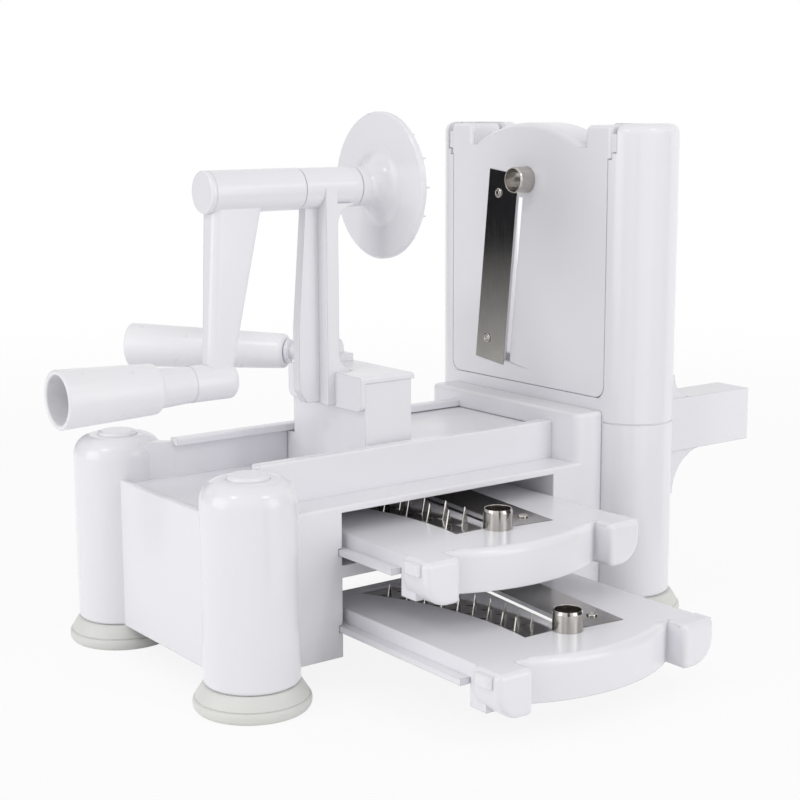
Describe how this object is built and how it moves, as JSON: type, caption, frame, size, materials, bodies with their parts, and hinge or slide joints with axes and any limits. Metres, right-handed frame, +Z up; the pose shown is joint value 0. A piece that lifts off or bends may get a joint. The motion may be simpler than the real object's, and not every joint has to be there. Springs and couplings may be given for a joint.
{
  "type": "hand cranked spiralizer",
  "caption": "Hand-cranked vegetable spiralizer on suction feet: sliding carriage with crank and spiked disc, blade frame, interchangeable blade cartridges.",
  "frame": {"origin": "centre of the bounding box on the table surface, at the rest pose", "axes": "+X from the crank end to the blade end along the slide, +Z up, -Y is the side where the cartridges pull out"},
  "size_m": [0.358, 0.2834, 0.2527],
  "materials": {
    "white_plastic": "gloss",
    "grey_plastic": "satin",
    "stainless": "brushed",
    "rubber": "matt"
  },
  "bodies": {
    "base": {"base_body": "white_plastic", "blade_frame": "white_plastic", "frame_screws": "stainless", "foot_screws": "stainless", "leg_cap_near": "white_plastic", "leg_cap_far": "white_plastic", "suction_foot_crank_near": "rubber", "suction_foot_crank_far": "rubber", "suction_foot_blade_near": "rubber", "suction_foot_blade_far": "rubber"},
    "carriage": {"carriage_slide": "white_plastic", "crank_post": "white_plastic", "post_screws": "stainless", "feed_pin": "grey_plastic", "feed_grip_screw": "stainless"},
    "feed_grip": {"feed_grip": "white_plastic"},
    "crank": {"crank_arm": "white_plastic", "hub_cap": "white_plastic", "spindle": "stainless", "disc_screw": "stainless", "spiked_disc": "white_plastic", "crank_grip_screw": "stainless"},
    "crank_grip": {"crank_grip": "white_plastic"},
    "slicing_cartridge": {"slicing_plate": "white_plastic", "slicing_blade": "stainless", "slicing_rivets": "stainless", "slicing_coring_ring": "stainless"},
    "coarse_cartridge": {"coarse_plate": "white_plastic", "coarse_blade": "stainless", "coarse_rivets": "stainless", "coarse_coring_ring": "stainless", "coarse_comb": "stainless"},
    "fine_cartridge": {"fine_plate": "white_plastic", "fine_blade": "stainless", "fine_rivets": "stainless", "fine_coring_ring": "stainless", "fine_comb": "stainless"}
  },
  "joints": [
    {"name": "carriage_slide", "type": "slide", "parent": "base", "child": "carriage", "axis": [1, 0, 0], "range_m": [-0.07, 0.075]},
    {"name": "crank_spin", "type": "hinge", "parent": "carriage", "child": "crank", "pos_m": [-0.05545, 0.02585, 0.2177], "axis": [1, 0, 0], "continuous": true},
    {"name": "crank_grip_spin", "type": "hinge", "parent": "crank", "child": "crank_grip", "pos_m": [-0.13205, 0.02585, 0.132], "axis": [1, 0, 0], "continuous": true},
    {"name": "feed_grip_spin", "type": "hinge", "parent": "carriage", "child": "feed_grip", "pos_m": [-0.02695, 0.05685, 0.135], "axis": [-0.6018, 0.7986, 0], "continuous": true},
    {"name": "slicing_cartridge_lift", "type": "slide", "parent": "base", "child": "slicing_cartridge", "axis": [0, 0, 1], "range_m": [0, 0.13]},
    {"name": "coarse_cartridge_slide", "type": "slide", "parent": "base", "child": "coarse_cartridge", "axis": [0, -1, 0], "range_m": [-0.0391, 0.073]},
    {"name": "fine_cartridge_slide", "type": "slide", "parent": "base", "child": "fine_cartridge", "axis": [0, -1, 0], "range_m": [-0.0862, 0.0259]}
  ]
}
